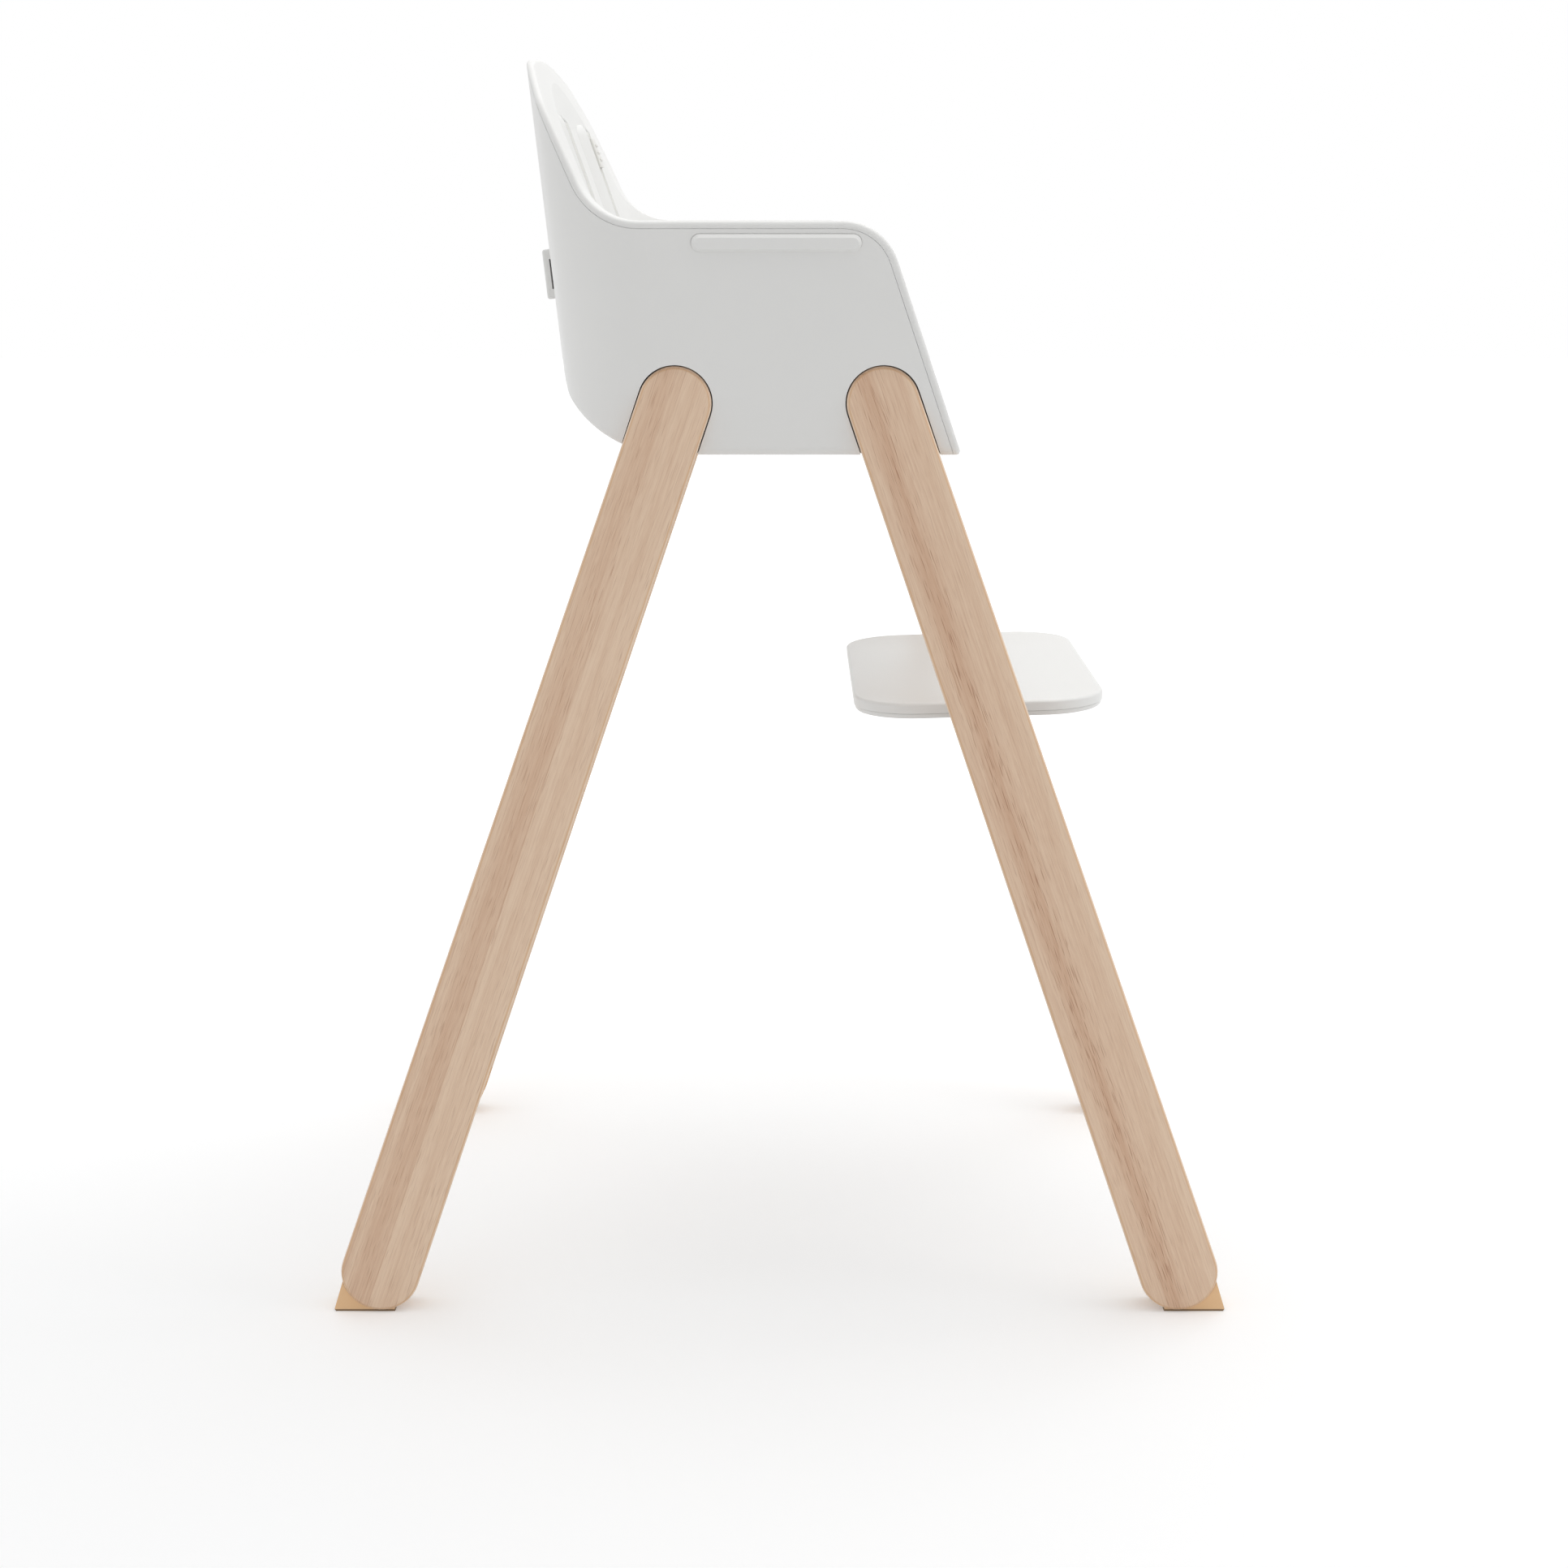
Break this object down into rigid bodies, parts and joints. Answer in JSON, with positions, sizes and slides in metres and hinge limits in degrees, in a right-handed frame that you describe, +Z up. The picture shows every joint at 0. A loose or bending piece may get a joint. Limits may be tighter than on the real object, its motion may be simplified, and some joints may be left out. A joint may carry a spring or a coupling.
{
  "type": "baby high chair",
  "caption": "High chair with a moulded bucket seat and raised backrest on splayed flat wooden legs with round ends, with a harness, tray rails and a sliding footrest.",
  "frame": {"origin": "on the floor under the middle of the chair, centred between the feet", "axes": "+Z up; the sitter looks along -Y; the sitter's left is +X"},
  "size_m": [0.464, 0.636, 0.87],
  "materials": {
    "shell": "satin moulded white",
    "footrest": "satin moulded white",
    "wood": "clear-lacquered light hardwood",
    "foot": "matte tan",
    "frame_steel": "grey powder coat",
    "arm": "white powder coat",
    "track": "satin",
    "shoe": "moulded",
    "knob": "moulded",
    "fastener": "zinc plated",
    "brass": "turned",
    "webbing": "woven off-white",
    "trim": "moulded off-white",
    "button": "moulded",
    "anchor": "moulded",
    "spring": "spring steel"
  },
  "bodies": {
    "chair": {"buckle_base": "trim", "buckle_cover": "trim", "buckle_spring": "spring", "buckle_tongue_left": "trim", "buckle_tongue_right": "trim", "cross_bar_front": "frame_steel", "cross_bar_rear": "frame_steel", "crotch_strap": "webbing", "foot_front_left": "foot", "foot_front_right": "foot", "foot_rear_left": "foot", "foot_rear_right": "foot", "foot_screws": "fastener", "footrest_track_left": "track", "footrest_track_right": "track", "keeper_screws": "fastener", "leg_bolts": "fastener", "leg_bracket_left": "frame_steel", "leg_bracket_right": "frame_steel", "leg_front_left": "wood", "leg_front_right": "wood", "leg_inserts": "brass", "leg_rear_left": "wood", "leg_rear_right": "wood", "rail_screws": "fastener", "seat_inner_shell": "shell", "seat_outer_shell": "shell", "shell_screws": "fastener", "shoulder_strap_left": "webbing", "shoulder_strap_right": "webbing", "strap_anchors": "anchor", "strap_keeper": "shell", "track_screws": "fastener", "tray_rail_left": "shell", "tray_rail_right": "shell", "waist_strap_left": "webbing", "waist_strap_right": "webbing"},
    "footrest": {"footrest_plate": "footrest", "footrest_cover": "footrest", "arm_screws": "fastener", "footrest_arm_left": "arm", "track_shoe_left": "shoe", "footrest_arm_right": "arm", "track_shoe_right": "shoe"},
    "clamp_left": {"clamp_knob_left": "knob", "clamp_stud_left": "fastener"},
    "clamp_right": {"clamp_knob_right": "knob", "clamp_stud_right": "fastener"},
    "button": {"buckle_button": "button"},
    "adjuster_left": {"strap_adjuster_left": "trim"},
    "adjuster_right": {"strap_adjuster_right": "trim"}
  },
  "joints": [
    {"name": "footrest_slide", "type": "slide", "parent": "chair", "child": "footrest", "axis": [0, 0.3318, 0.9433], "range_m": [-0.1, 0.035]},
    {"name": "clamp_left_turn", "type": "hinge", "parent": "footrest", "child": "clamp_left", "pos_m": [0.1776, -0.15515, 0.396], "axis": [1, 0, 0], "range_deg": [0, 180]},
    {"name": "clamp_right_turn", "type": "hinge", "parent": "footrest", "child": "clamp_right", "pos_m": [-0.1776, -0.15515, 0.396], "axis": [-1, 0, 0], "range_deg": [0, 180]},
    {"name": "buckle_press", "type": "slide", "parent": "chair", "child": "button", "axis": [0, 0, -1], "range_m": [0, 0.003], "stiffness_N_per_m": 800, "springref_m": -0.001, "deforming": ["buckle_spring"]},
    {"name": "adjuster_left_slide", "type": "slide", "parent": "chair", "child": "adjuster_left", "axis": [0, 0.3308, 0.9437], "range_m": [-0.09, 0]},
    {"name": "adjuster_right_slide", "type": "slide", "parent": "chair", "child": "adjuster_right", "axis": [0, 0.3308, 0.9437], "range_m": [-0.03, 0.059]}
  ]
}
